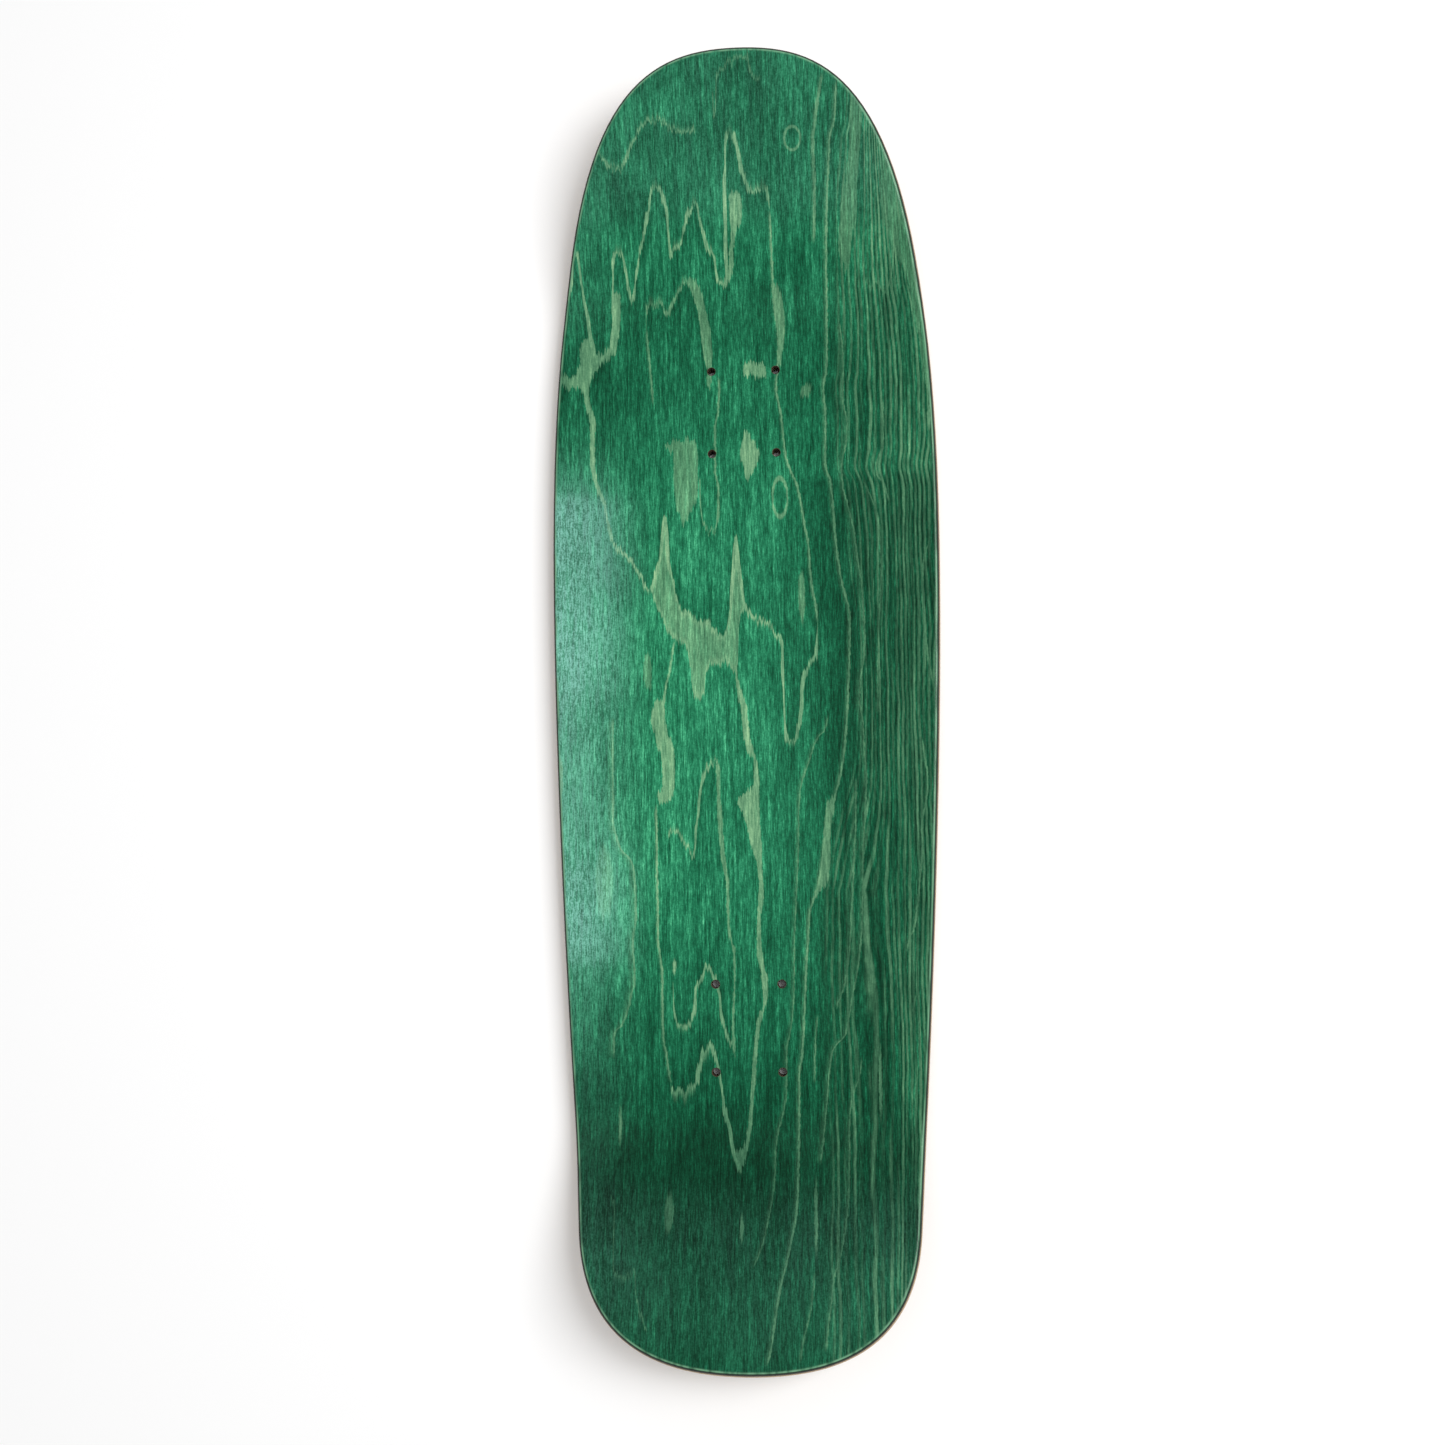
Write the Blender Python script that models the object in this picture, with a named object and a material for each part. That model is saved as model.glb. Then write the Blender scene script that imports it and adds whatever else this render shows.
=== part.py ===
"""A bare skateboard deck: seven maple plies pressed together, with dished rails, two kicks and bolt holes.

Units are metres and +Z is up. +Y runs towards the nose and +X to the right of it. The origin is on the
underside, halfway between the two trucks, where the deck is flat and rests on the floor.

Each ply starts as a flat blank: X across the deck, S along it and N up through the stack. The blank is
then pressed into the deck's shape, so that S follows the curve of the kicks.
"""

import math

import bmesh
import bpy
from mathutils import Matrix, Vector
from mathutils.geometry import interpolate_bezier

# The stack, from the underside up. The gap between two plies is the glue line.
PLY_THICKNESS = 0.0013
GLUE_LINE = 0.0003
PLY_PITCH = PLY_THICKNESS + GLUE_LINE
PLY_COUNT = 7
STACK_HEIGHT = PLY_COUNT * PLY_PITCH - GLUE_LINE
EDGE_RADIUS = 0.003

# The pressed shape: a flat middle, rails that lift towards the edge, and a kick at each end.
FLAT_HALF_LENGTH = 0.240
KICK_RADIUS = 0.140
KICK_ANGLE = math.radians(20)
FLAT_HALF_WIDTH = 0.036
RAIL_LIFT = 0.006

# The outline of the right half, along the pressed surface: three Bezier spans from nose tip to tail tip.
HALF_WIDTH = 0.124
WIDEST_STATION = 0.114
NOSE_TIP_STATION = 0.4255
NOSE_TIP_HANDLE = 0.068
NOSE_SIDE_HANDLE = 0.280
WAIST_HANDLE = 0.150
TAIL_SHOULDER = Vector((0.1047, -0.322, 0.0))
TAIL_SHOULDER_HEADING = Vector((0.08, 1.0, 0.0)).normalized()
SHOULDER_FRONT_HANDLE = 0.080
SHOULDER_REAR_HANDLE = 0.059
TAIL_TIP_STATION = -0.404
TAIL_TIP_HANDLE = 0.0625
SPAN_POINTS = 14

# The truck bolt pattern: 1 5/8 in across and 2 1/8 in along, with 13 1/4 in between the inner rows.
BOLT_SPACING_X = 0.041275
BOLT_SPACING_Y = 0.053975
INNER_WHEELBASE = 0.33655
BOLT_HOLE_RADIUS = 0.0025
BOLT_HOLE_SIDES = 16
CUTTER_DEPTH = 3.0 * STACK_HEIGHT

# How finely the blank is divided, so that it can bend.
RAIL_STRIPS = 4
KICK_BEND_STEPS = 6
OUTER_PLY_EDGE_STEPS = 3
CUT_TOLERANCE = 1e-7
SHARP_ANGLE = math.radians(30)

# Name, colour, roughness: the plies from the underside up.
PLIES = (
    ("bottom_veneer", (0.62, 0.44, 0.25), 0.42),
    ("lower_core_ply", (0.56, 0.39, 0.22), 0.60),
    ("lower_cross_ply", (0.42, 0.27, 0.14), 0.65),
    ("centre_ply", (0.58, 0.41, 0.23), 0.60),
    ("upper_cross_ply", (0.42, 0.27, 0.14), 0.65),
    ("upper_core_ply", (0.030, 0.026, 0.016), 0.60),
    ("top_veneer", (0.055, 0.155, 0.085), 0.38),
)


def clear_scene():
    for scene_object in list(bpy.data.objects):
        bpy.data.objects.remove(scene_object, do_unlink=True)


def wood_material(name, colour, roughness):
    material = bpy.data.materials.new(name)
    material.use_nodes = True
    shader = material.node_tree.nodes["Principled BSDF"]
    shader.inputs["Base Color"].default_value = (*colour, 1.0)
    shader.inputs["Roughness"].default_value = roughness
    shader.inputs["Metallic"].default_value = 0.0
    material.diffuse_color = (*colour, 1.0)
    return material


def half_outline():
    """Points of the right half, from the nose tip round the right side to the tail tip."""
    widest = Vector((HALF_WIDTH, WIDEST_STATION, 0.0))
    spans = (
        (
            Vector((0.0, NOSE_TIP_STATION, 0.0)),
            Vector((NOSE_TIP_HANDLE, NOSE_TIP_STATION, 0.0)),
            widest + Vector((0.0, NOSE_SIDE_HANDLE, 0.0)),
            widest,
        ),
        (
            widest,
            widest - Vector((0.0, WAIST_HANDLE, 0.0)),
            TAIL_SHOULDER + SHOULDER_FRONT_HANDLE * TAIL_SHOULDER_HEADING,
            TAIL_SHOULDER,
        ),
        (
            TAIL_SHOULDER,
            TAIL_SHOULDER - SHOULDER_REAR_HANDLE * TAIL_SHOULDER_HEADING,
            Vector((TAIL_TIP_HANDLE, TAIL_TIP_STATION, 0.0)),
            Vector((0.0, TAIL_TIP_STATION, 0.0)),
        ),
    )
    points = [spans[0][0]]
    for span in spans:
        points += interpolate_bezier(*span, SPAN_POINTS)[1:]
    return points


def full_outline():
    """The closed outline, clockwise from the nose tip."""
    right = half_outline()
    left = [Vector((-point.x, point.y, 0.0)) for point in reversed(right[1:-1])]
    return right + left


def inward_normals(outline):
    normals = []
    for index, point in enumerate(outline):
        before = outline[index - 1]
        after = outline[(index + 1) % len(outline)]
        along = (after - before).normalized()
        normals.append(Vector((along.y, -along.x, 0.0)))
    return normals


def edge_inset(height):
    """How far the rounded edge draws in at a height in the stack."""
    depth = max(min(height, STACK_HEIGHT - height), 0.0)
    if depth >= EDGE_RADIUS:
        return 0.0
    return EDGE_RADIUS - math.sqrt(EDGE_RADIUS**2 - (EDGE_RADIUS - depth) ** 2)


def press(point):
    """Where a point of the flat blank lies once the deck is pressed."""
    beyond_flat = max(abs(point.x) - FLAT_HALF_WIDTH, 0.0) / (HALF_WIDTH - FLAT_HALF_WIDTH)
    lift = RAIL_LIFT * beyond_flat**2
    slope = 2.0 * RAIL_LIFT * beyond_flat / (HALF_WIDTH - FLAT_HALF_WIDTH)
    tilt = math.atan(math.copysign(slope, point.x))
    across = point.x - point.z * math.sin(tilt)
    height = lift + point.z * math.cos(tilt)

    run = max(abs(point.y) - FLAT_HALF_LENGTH, 0.0)
    angle = min(run / KICK_RADIUS, KICK_ANGLE)
    straight = run - angle * KICK_RADIUS
    along = min(abs(point.y), FLAT_HALF_LENGTH) + KICK_RADIUS * math.sin(angle) + straight * math.cos(angle)
    rise = KICK_RADIUS * (1.0 - math.cos(angle)) + straight * math.sin(angle)
    along -= height * math.sin(angle)
    rise += height * math.cos(angle)
    return Vector((across, math.copysign(along, point.y), rise))


def add_blank(mesh, base_height, edge_steps):
    """A flat ply with its share of the deck's rounded edge."""
    outline = full_outline()
    normals = inward_normals(outline)
    rings = []
    for step in range(edge_steps + 1):
        height = base_height + PLY_THICKNESS * step / edge_steps
        inset = edge_inset(height)
        ring = []
        for point, normal in zip(outline, normals):
            corner = point + inset * normal
            ring.append(mesh.verts.new((corner.x, corner.y, height)))
        rings.append(ring)
    mesh.faces.new(rings[0])
    mesh.faces.new(reversed(rings[-1]))
    for lower, upper in zip(rings, rings[1:]):
        for index in range(len(outline)):
            following = (index + 1) % len(outline)
            mesh.faces.new((lower[following], lower[index], upper[index], upper[following]))
    bmesh.ops.recalc_face_normals(mesh, faces=mesh.faces)


def divide_blank(mesh):
    """Cut lines along the rails and across the kicks, where the ply will bend."""
    cuts = []
    for strip in range(RAIL_STRIPS):
        offset = FLAT_HALF_WIDTH + (HALF_WIDTH - FLAT_HALF_WIDTH) * strip / RAIL_STRIPS
        cuts += [((offset, 0.0, 0.0), (1.0, 0.0, 0.0)), ((-offset, 0.0, 0.0), (1.0, 0.0, 0.0))]
    for step in range(KICK_BEND_STEPS + 1):
        station = FLAT_HALF_LENGTH + KICK_RADIUS * KICK_ANGLE * step / KICK_BEND_STEPS
        cuts += [((0.0, station, 0.0), (0.0, 1.0, 0.0)), ((0.0, -station, 0.0), (0.0, 1.0, 0.0))]
    for place, direction in cuts:
        geometry = mesh.verts[:] + mesh.edges[:] + mesh.faces[:]
        bmesh.ops.bisect_plane(mesh, geom=geometry, dist=CUT_TOLERANCE, plane_co=place, plane_no=direction)


def bolt_hole_centres():
    pattern_station = (INNER_WHEELBASE + BOLT_SPACING_Y) / 2.0
    centres = []
    for truck_side in (-1, 1):
        for row in (-0.5, 0.5):
            along = truck_side * pattern_station + row * BOLT_SPACING_Y
            centres += [(-BOLT_SPACING_X / 2.0, along), (BOLT_SPACING_X / 2.0, along)]
    return centres


def add_bolt_hole_cutter():
    mesh = bmesh.new()
    for across, along in bolt_hole_centres():
        bmesh.ops.create_cone(
            mesh,
            cap_ends=True,
            segments=BOLT_HOLE_SIDES,
            radius1=BOLT_HOLE_RADIUS,
            radius2=BOLT_HOLE_RADIUS,
            depth=CUTTER_DEPTH,
            matrix=Matrix.Translation((across, along, STACK_HEIGHT / 2.0)),
        )
    cutter = add_object("bolt_hole_cutter", mesh)
    cutter.hide_render = True
    cutter.display_type = "WIRE"
    return cutter


def add_object(name, mesh):
    data = bpy.data.meshes.new(name)
    mesh.to_mesh(data)
    mesh.free()
    new_object = bpy.data.objects.new(name, data)
    bpy.context.scene.collection.objects.link(new_object)
    return new_object


def add_ply(name, colour, roughness, level, cutter):
    mesh = bmesh.new()
    is_outer = level in (0, PLY_COUNT - 1)
    add_blank(mesh, level * PLY_PITCH, OUTER_PLY_EDGE_STEPS if is_outer else 1)
    divide_blank(mesh)
    for vertex in mesh.verts:
        vertex.co = press(vertex.co)
    ply = add_object(name, mesh)
    ply.data.materials.append(wood_material(name, colour, roughness))
    ply.data.shade_smooth()
    ply.data.set_sharp_from_angle(angle=SHARP_ANGLE)
    holes = ply.modifiers.new("bolt_holes", "BOOLEAN")
    holes.operation = "DIFFERENCE"
    holes.solver = "EXACT"
    holes.object = cutter
    return ply


def build_deck():
    clear_scene()
    cutter = add_bolt_hole_cutter()
    for level, (name, colour, roughness) in enumerate(PLIES):
        add_ply(name, colour, roughness, level, cutter)


build_deck()
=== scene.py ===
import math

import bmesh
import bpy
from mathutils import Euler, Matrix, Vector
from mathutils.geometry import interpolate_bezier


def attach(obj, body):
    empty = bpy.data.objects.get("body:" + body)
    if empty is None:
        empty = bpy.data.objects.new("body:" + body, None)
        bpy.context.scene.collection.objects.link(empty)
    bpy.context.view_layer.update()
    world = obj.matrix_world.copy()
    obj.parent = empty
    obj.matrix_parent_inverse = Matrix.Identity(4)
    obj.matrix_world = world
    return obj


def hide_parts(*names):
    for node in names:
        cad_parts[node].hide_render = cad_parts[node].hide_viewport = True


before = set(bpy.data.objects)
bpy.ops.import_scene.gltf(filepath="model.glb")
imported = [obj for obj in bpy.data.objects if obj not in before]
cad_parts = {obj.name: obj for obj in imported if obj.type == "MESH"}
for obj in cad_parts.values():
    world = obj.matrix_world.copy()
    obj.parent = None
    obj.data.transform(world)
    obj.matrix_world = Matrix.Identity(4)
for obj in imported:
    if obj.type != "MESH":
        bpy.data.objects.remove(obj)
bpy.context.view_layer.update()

# The looks of a bare skateboard deck: seven maple plies, the top one stained green under satin lacquer.
#
# Every ply is rebuilt finer than its CAD node, by the same steps: a flat blank with a rounded edge and
# eight bolt holes is cut, divided where it will bend, and pressed into shape. Each point keeps its place
# in the blank as the attribute "blank": X across, S along and N up through the stack. The wood is drawn
# from it. The shapes are in metres, and the lists that draw the wood are in millimetres.

MM = 0.001

# The stack, from the underside up. Glue lines are thinner here than the gap that the CAD keeps.
PLIES = (
    "bottom_veneer",
    "lower_core_ply",
    "lower_cross_ply",
    "centre_ply",
    "upper_cross_ply",
    "upper_core_ply",
    "top_veneer",
)
STACK_HEIGHT = 10.9 * MM
PLY_PITCH = 1.6 * MM
GLUE_LINE = 0.08 * MM
EDGE_RADIUS = 3.0 * MM
# The finer outline draws in this far, so that it stays inside the CAD's coarser one.
SANDED_OFF = 0.35 * MM

# The pressed shape.
FLAT_HALF_LENGTH = 240 * MM
KICK_RADIUS = 140 * MM
KICK_ANGLE = math.radians(20)
FLAT_HALF_WIDTH = 36 * MM
RAIL_LIFT = 6 * MM

# The outline of the right half, along the pressed surface, from nose tip to tail tip.
HALF_WIDTH = 124 * MM
WIDEST_STATION = 114 * MM
NOSE_TIP_STATION = 425.5 * MM
NOSE_TIP_HANDLE = 68 * MM
NOSE_SIDE_HANDLE = 280 * MM
WAIST_HANDLE = 150 * MM
TAIL_SHOULDER = Vector((104.7 * MM, -322 * MM, 0.0))
TAIL_SHOULDER_HEADING = Vector((0.08, 1.0, 0.0)).normalized()
SHOULDER_FRONT_HANDLE = 80 * MM
SHOULDER_REAR_HANDLE = 59 * MM
TAIL_TIP_STATION = -404 * MM
TAIL_TIP_HANDLE = 62.5 * MM

# The truck bolt holes.
BOLT_SPACING_X = 41.275 * MM
BOLT_SPACING_Y = 53.975 * MM
INNER_WHEELBASE = 336.55 * MM
BOLT_HOLE_RADIUS = 2.5 * MM
HOLE_CHAMFER = 0.3 * MM
HOLE_SIDES = 40

# How finely the blank is cut.
SPAN_POINTS = 37
RAIL_STRIPS = 10
KICK_BEND_STEPS = 12
ROUND_STEPS = 8
HOLDING_INSET = 0.6 * MM
CUT_TOLERANCE = 1e-7
SHARP_ANGLE = math.radians(35)


# ---------------------------------------------------------------- the shape of the plies


def half_outline():
    """Points of the right half, from the nose tip round the right side to the tail tip."""
    widest = Vector((HALF_WIDTH, WIDEST_STATION, 0.0))
    nose_tip = Vector((0.0, NOSE_TIP_STATION, 0.0))
    tail_tip = Vector((0.0, TAIL_TIP_STATION, 0.0))
    spans = (
        (
            nose_tip,
            nose_tip + Vector((NOSE_TIP_HANDLE, 0.0, 0.0)),
            widest + Vector((0.0, NOSE_SIDE_HANDLE, 0.0)),
            widest,
        ),
        (
            widest,
            widest - Vector((0.0, WAIST_HANDLE, 0.0)),
            TAIL_SHOULDER + SHOULDER_FRONT_HANDLE * TAIL_SHOULDER_HEADING,
            TAIL_SHOULDER,
        ),
        (
            TAIL_SHOULDER,
            TAIL_SHOULDER - SHOULDER_REAR_HANDLE * TAIL_SHOULDER_HEADING,
            tail_tip + Vector((TAIL_TIP_HANDLE, 0.0, 0.0)),
            tail_tip,
        ),
    )
    points = [nose_tip]
    for span in spans:
        points += interpolate_bezier(*span, SPAN_POINTS)[1:]
    return points


def full_outline():
    """The closed outline, clockwise from the nose tip."""
    right = half_outline()
    return right + [Vector((-point.x, point.y, 0.0)) for point in reversed(right[1:-1])]


def inward_normals(outline):
    normals = []
    for index in range(len(outline)):
        along = (outline[(index + 1) % len(outline)] - outline[index - 1]).normalized()
        normals.append(Vector((along.y, -along.x, 0.0)))
    return normals


def edge_profile(low, high):
    """Heights and insets up one ply's share of the deck's rounded edge."""
    profile = []
    top_start = STACK_HEIGHT - EDGE_RADIUS
    for step in range(ROUND_STEPS + 1):
        share = step / ROUND_STEPS
        if low >= top_start:
            first = math.asin((low - top_start) / EDGE_RADIUS)
            last = math.asin(min((high - top_start) / EDGE_RADIUS, 1.0))
            angle = first + (last - first) * share
            height = top_start + EDGE_RADIUS * math.sin(angle)
            profile.append((height, EDGE_RADIUS * (1 - math.cos(angle))))
        elif high <= EDGE_RADIUS:
            first = math.asin(min((EDGE_RADIUS - low) / EDGE_RADIUS, 1.0))
            last = math.asin((EDGE_RADIUS - high) / EDGE_RADIUS)
            angle = first + (last - first) * share
            height = EDGE_RADIUS * (1 - math.sin(angle))
            profile.append((height, EDGE_RADIUS * (1 - math.cos(angle))))
        elif step in (0, ROUND_STEPS):
            profile.append((low + (high - low) * share, 0.0))
    return profile


def press(point):
    """Where a point of the flat blank lies once the deck is pressed."""
    beyond_flat = max(abs(point.x) - FLAT_HALF_WIDTH, 0.0) / (HALF_WIDTH - FLAT_HALF_WIDTH)
    lift = RAIL_LIFT * beyond_flat**2
    slope = 2.0 * RAIL_LIFT * beyond_flat / (HALF_WIDTH - FLAT_HALF_WIDTH)
    tilt = math.atan(math.copysign(slope, point.x))
    across = point.x - point.z * math.sin(tilt)
    height = lift + point.z * math.cos(tilt)

    run = max(abs(point.y) - FLAT_HALF_LENGTH, 0.0)
    angle = min(run / KICK_RADIUS, KICK_ANGLE)
    straight = run - angle * KICK_RADIUS
    along = min(abs(point.y), FLAT_HALF_LENGTH)
    along += KICK_RADIUS * math.sin(angle) + straight * math.cos(angle)
    rise = KICK_RADIUS * (1.0 - math.cos(angle)) + straight * math.sin(angle)
    along -= height * math.sin(angle)
    rise += height * math.cos(angle)
    return Vector((across, math.copysign(along, point.y), rise))


def bolt_hole_centres():
    pattern_station = (INNER_WHEELBASE + BOLT_SPACING_Y) / 2.0
    centres = []
    for truck_side in (-1, 1):
        for row in (-0.5, 0.5):
            along = truck_side * pattern_station + row * BOLT_SPACING_Y
            for side in (-0.5, 0.5):
                centres.append(Vector((side * BOLT_SPACING_X, along, 0.0)))
    return centres


def new_object(name, mesh):
    data = bpy.data.meshes.new(name)
    mesh.to_mesh(data)
    mesh.free()
    made = bpy.data.objects.new(name, data)
    bpy.context.scene.collection.objects.link(made)
    return made


def bolt_hole_cutter():
    """Eight pins that flare at both faces, to cut holes with a worn rim."""
    profile = (
        (-HOLE_CHAMFER, BOLT_HOLE_RADIUS + 2 * HOLE_CHAMFER),
        (HOLE_CHAMFER, BOLT_HOLE_RADIUS),
        (STACK_HEIGHT - HOLE_CHAMFER, BOLT_HOLE_RADIUS),
        (STACK_HEIGHT + HOLE_CHAMFER, BOLT_HOLE_RADIUS + 2 * HOLE_CHAMFER),
    )
    mesh = bmesh.new()
    for centre in bolt_hole_centres():
        rings = []
        for height, radius in profile:
            ring = []
            for side in range(HOLE_SIDES):
                angle = 2 * math.pi * side / HOLE_SIDES
                spoke = Vector((radius * math.cos(angle), radius * math.sin(angle), height))
                ring.append(mesh.verts.new(centre + spoke))
            rings.append(ring)
        for lower, upper in zip(rings, rings[1:]):
            for side in range(HOLE_SIDES):
                following = (side + 1) % HOLE_SIDES
                mesh.faces.new((lower[side], lower[following], upper[following], upper[side]))
        mesh.faces.new(reversed(rings[0]))
        mesh.faces.new(rings[-1])
    return new_object("bolt_hole_cutter", mesh)


def flat_blank(low, high):
    """A flat ply with a rounded edge, and a holding line just inside each face's rim."""
    outline = full_outline()
    normals = inward_normals(outline)
    profile = edge_profile(low, high)
    first_height, first_inset = profile[0]
    last_height, last_inset = profile[-1]
    profile.insert(0, (first_height, first_inset + HOLDING_INSET))
    profile.append((last_height, last_inset + HOLDING_INSET))
    profile = [(height, inset + SANDED_OFF) for height, inset in profile]
    mesh = bmesh.new()
    rings = []
    for height, inset in profile:
        ring = []
        for point, normal in zip(outline, normals):
            place = point + inset * normal
            ring.append(mesh.verts.new((place.x, place.y, height)))
        rings.append(ring)
    mesh.faces.new(rings[0])
    mesh.faces.new(reversed(rings[-1]))
    for lower, upper in zip(rings, rings[1:]):
        for index in range(len(outline)):
            following = (index + 1) % len(outline)
            mesh.faces.new((lower[following], lower[index], upper[index], upper[following]))
    bmesh.ops.recalc_face_normals(mesh, faces=mesh.faces)
    return new_object("blank", mesh)


def drill(blank, cutter):
    """The blank's mesh with the bolt holes cut, as a bmesh."""
    cut = blank.modifiers.new("bolt_holes", "BOOLEAN")
    cut.operation = "DIFFERENCE"
    cut.solver = "EXACT"
    cut.object = cutter
    depsgraph = bpy.context.evaluated_depsgraph_get()
    mesh = bmesh.new()
    mesh.from_mesh(blank.evaluated_get(depsgraph).to_mesh())
    bpy.data.objects.remove(blank, do_unlink=True)
    return mesh


def divide(mesh):
    """Cut lines along the rails and across the kicks, where the ply will bend."""
    cuts = []
    for strip in range(RAIL_STRIPS):
        offset = FLAT_HALF_WIDTH + (HALF_WIDTH - FLAT_HALF_WIDTH) * strip / RAIL_STRIPS
        cuts += [((side * offset, 0.0, 0.0), (1.0, 0.0, 0.0)) for side in (1, -1)]
    for step in range(KICK_BEND_STEPS + 1):
        station = FLAT_HALF_LENGTH + KICK_RADIUS * KICK_ANGLE * step / KICK_BEND_STEPS
        cuts += [((0.0, end * station, 0.0), (0.0, 1.0, 0.0)) for end in (1, -1)]
    for place, direction in cuts:
        geometry = mesh.verts[:] + mesh.edges[:] + mesh.faces[:]
        bmesh.ops.bisect_plane(
            mesh,
            geom=geometry,
            dist=CUT_TOLERANCE,
            plane_co=place,
            plane_no=direction,
        )


def make_ply(level, cutter, face_material, hole_material):
    """One ply, which stands for its CAD node. The top one ends at the height of the stack."""
    low = level * PLY_PITCH
    high = STACK_HEIGHT if level == len(PLIES) - 1 else low + PLY_PITCH - GLUE_LINE
    mesh = drill(flat_blank(low, high), cutter)
    divide(mesh)
    places = [vertex.co.copy() for vertex in mesh.verts]
    for vertex, place in zip(mesh.verts, places):
        vertex.co = press(place)
    ply = new_object(PLIES[level] + "_wood", mesh)
    blank = ply.data.attributes.new("blank", "FLOAT_VECTOR", "POINT")
    blank.data.foreach_set("vector", [number for place in places for number in place])
    ply.data.materials.append(face_material)
    ply.data.materials.append(hole_material)
    centres = bolt_hole_centres()
    wall_reach = BOLT_HOLE_RADIUS + 0.5 * HOLE_CHAMFER
    for face in ply.data.polygons:
        middle = Vector((face.center.x, face.center.y, 0.0))
        if min((middle - centre).length for centre in centres) < wall_reach:
            face.material_index = 1
    ply.data.shade_smooth()
    ply.data.set_sharp_from_angle(angle=SHARP_ANGLE)
    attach(ply, "root")
    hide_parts(PLIES[level])


# ---------------------------------------------------------------- node shorthand


# How far apart the noises of two neighbouring seeds lie.
SEED_STEP = (17.3, 5.1, 3.7)


class Graph:
    """Shorthand for a shader's nodes. Positions and lengths inside it are in millimetres."""

    def __init__(self, name):
        self.material = bpy.data.materials.new(name)
        self.material.use_nodes = True
        self.tree = self.material.node_tree
        self.shader = self.tree.nodes["Principled BSDF"]
        place = self.node("ShaderNodeAttribute")
        place.attribute_name = "blank"
        scaled = self.node("ShaderNodeVectorMath")
        scaled.operation = "SCALE"
        self.feed(scaled.inputs[0], place.outputs["Vector"])
        scaled.inputs["Scale"].default_value = 1.0 / MM
        self.place = scaled.outputs["Vector"]
        split = self.node("ShaderNodeSeparateXYZ")
        self.feed(split.inputs[0], self.place)
        self.across, self.along, self.height = split.outputs

    def node(self, kind):
        return self.tree.nodes.new(kind)

    def feed(self, socket, value):
        if isinstance(value, bpy.types.NodeSocket):
            self.tree.links.new(value, socket)
        elif socket.type == "RGBA":
            socket.default_value = (*value, 1.0)
        else:
            socket.default_value = value

    def math(self, operation, *values, clamp=False):
        made = self.node("ShaderNodeMath")
        made.operation = operation
        made.use_clamp = clamp
        for socket, value in zip(made.inputs, values):
            self.feed(socket, value)
        return made.outputs[0]

    def add(self, first, second):
        return self.math("ADD", first, second)

    def subtract(self, first, second):
        return self.math("SUBTRACT", first, second)

    def times(self, first, second):
        return self.math("MULTIPLY", first, second)

    def smaller(self, first, second):
        return self.math("MINIMUM", first, second)

    def larger(self, first, second):
        return self.math("MAXIMUM", first, second)

    def fade(self, value, start, end, low=0.0, high=1.0):
        """Goes smoothly from low to high while value goes from start to end."""
        made = self.node("ShaderNodeMapRange")
        made.interpolation_type = "SMOOTHSTEP"
        for name, number in (("From Min", start), ("From Max", end), ("To Min", low), ("To Max", high)):
            self.feed(made.inputs[name], number)
        self.feed(made.inputs["Value"], value)
        return made.outputs["Result"]

    def vector(self, x, y, z):
        made = self.node("ShaderNodeCombineXYZ")
        for socket, value in zip(made.inputs, (x, y, z)):
            self.feed(socket, value)
        return made.outputs[0]

    def noise(self, size_across, size_along, seed, detail=2.0, size_up=1000.0, across=None):
        """Noise from 0 to 1 with blotches of these sizes. By default it hardly changes with height."""
        place = self.place if across is None else self.vector(across, self.along, self.height)
        stretch = self.node("ShaderNodeVectorMath")
        stretch.operation = "MULTIPLY_ADD"
        self.feed(stretch.inputs[0], place)
        stretch.inputs[1].default_value = (1.0 / size_across, 1.0 / size_along, 1.0 / size_up)
        stretch.inputs[2].default_value = [seed * step for step in SEED_STEP]
        made = self.node("ShaderNodeTexNoise")
        self.feed(made.inputs["Vector"], stretch.outputs[0])
        made.inputs["Scale"].default_value = 1.0
        made.inputs["Detail"].default_value = detail
        return made.outputs["Fac"]

    def swing(self, amount, *noise, **options):
        """Noise that swings evenly to both sides of 0, over a range of amount."""
        return self.times(self.subtract(self.noise(*noise, **options), 0.5), amount)

    def within(self, value, start, end, outside, inside):
        """1 between start and end, whose soft ends reach this far outside and inside of them."""
        rise = self.fade(value, start - outside, start + inside)
        fall = self.fade(value, end + outside, end - inside)
        return self.times(rise, fall)

    def curve(self, value, points):
        """A line through points (position, height) in any order, held level beyond its ends."""
        positions = [point[0] for point in points]
        heights = [point[1] for point in points]
        left, right = min(positions), max(positions)
        low = min(heights)
        span = max(heights) - low
        share = self.node("ShaderNodeMapRange")
        self.feed(share.inputs["Value"], value)
        self.feed(share.inputs["From Min"], left)
        self.feed(share.inputs["From Max"], right)
        made = self.node("ShaderNodeFloatCurve")
        self.feed(made.inputs["Value"], share.outputs["Result"])
        line = made.mapping.curves[0]
        spots = sorted(((p - left) / (right - left), (h - low) / span) for p, h in points)
        line.points[0].location = spots[0]
        line.points[1].location = spots[-1]
        for spot in spots[1:-1]:
            line.points.new(*spot)
        for point in line.points:
            point.handle_type = "AUTO_CLAMPED"
        made.mapping.update()
        return self.math("MULTIPLY_ADD", made.outputs["Value"], span, low)

    def blend(self, factor, first, second):
        """Mixes two colours."""
        made = self.node("ShaderNodeMix")
        made.data_type = "RGBA"
        # A Mix node has sockets for several kinds of value. 6 and 7 are its colours, and output 2 their mix.
        self.feed(made.inputs[0], factor)
        self.feed(made.inputs[6], first)
        self.feed(made.inputs[7], second)
        return made.outputs[2]

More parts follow.
